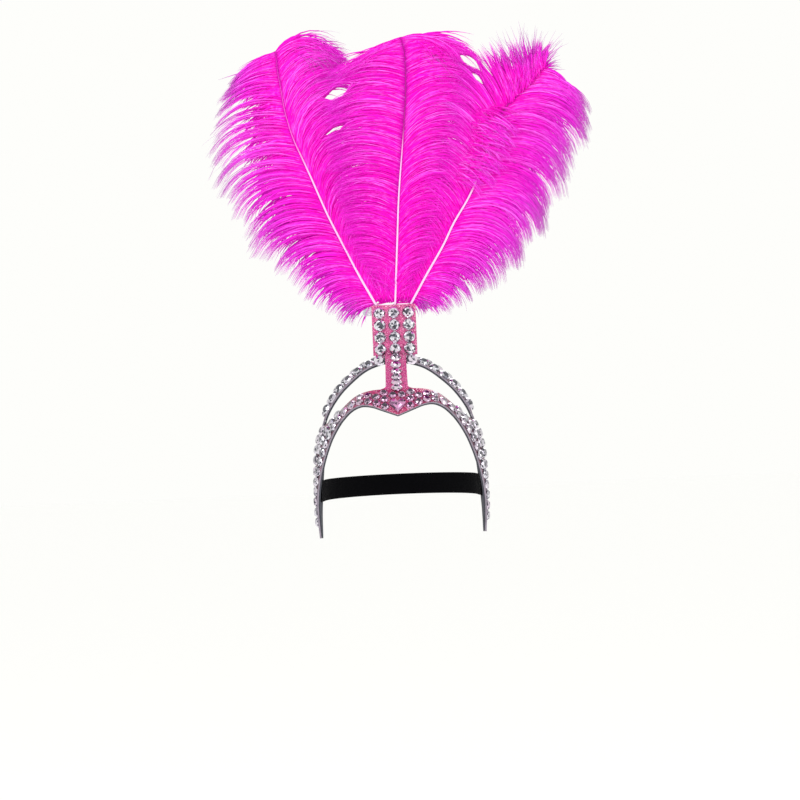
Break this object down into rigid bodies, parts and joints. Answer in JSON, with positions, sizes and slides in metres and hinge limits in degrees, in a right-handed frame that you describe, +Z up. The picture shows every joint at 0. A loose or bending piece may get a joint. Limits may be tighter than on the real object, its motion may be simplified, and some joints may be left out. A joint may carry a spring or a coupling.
{
  "type": "carnival feather headdress",
  "caption": "Open foam headpiece with a pointed brow, side guards and an arch over the head, set with cut stones, that carries upright ostrich plumes and closes behind with an elastic.",
  "frame": {"origin": "inside of the crown arch at its top, where the headdress sits on the head", "axes": "+Z up along the plumes, -Y towards the front of the face, +X towards the viewer's right"},
  "size_m": [0.4028, 0.1935, 0.5546],
  "materials": {
    "glitter_pink": "glitter foam",
    "dark_foam": "matt foam",
    "crystal": "cut, silvered behind",
    "pink_crystal": "cut, silvered behind",
    "hot_pink_feather": "soft dyed feather",
    "pale_quill": "satin",
    "pale_foam": "matt foam",
    "clear_film": "clear tape",
    "black_elastic": "woven elastic"
  },
  "bodies": {
    "root": {"brow_band": "glitter_pink", "brow_lining": "dark_foam", "crown_arch": "glitter_pink", "arch_lining": "dark_foam", "plume_plate": "glitter_pink", "plate_stone_1_1": "crystal", "plate_stone_1_2": "crystal", "plate_stone_1_3": "crystal", "plate_stone_2_1": "crystal", "plate_stone_2_2": "crystal", "plate_stone_2_3": "crystal", "plate_stone_3_1": "crystal", "plate_stone_3_2": "crystal", "plate_stone_3_3": "crystal", "plate_stone_4_1": "crystal", "plate_stone_4_2": "crystal", "plate_stone_4_3": "crystal", "stem_stone_1": "crystal", "stem_stone_2": "crystal", "stem_stone_3": "crystal", "stem_stone_4": "crystal", "stem_stone_5": "crystal", "stem_stone_6": "crystal", "heart_stone": "pink_crystal", "plume_slab": "pale_foam", "clear_tab": "clear_film", "quill_left": "pale_quill", "quill_centre": "pale_quill", "quill_right": "pale_quill", "plume_left": "hot_pink_feather", "plume_centre": "hot_pink_feather", "plume_right": "hot_pink_feather", "elastic_strap": "black_elastic"}
  },
  "joints": []
}
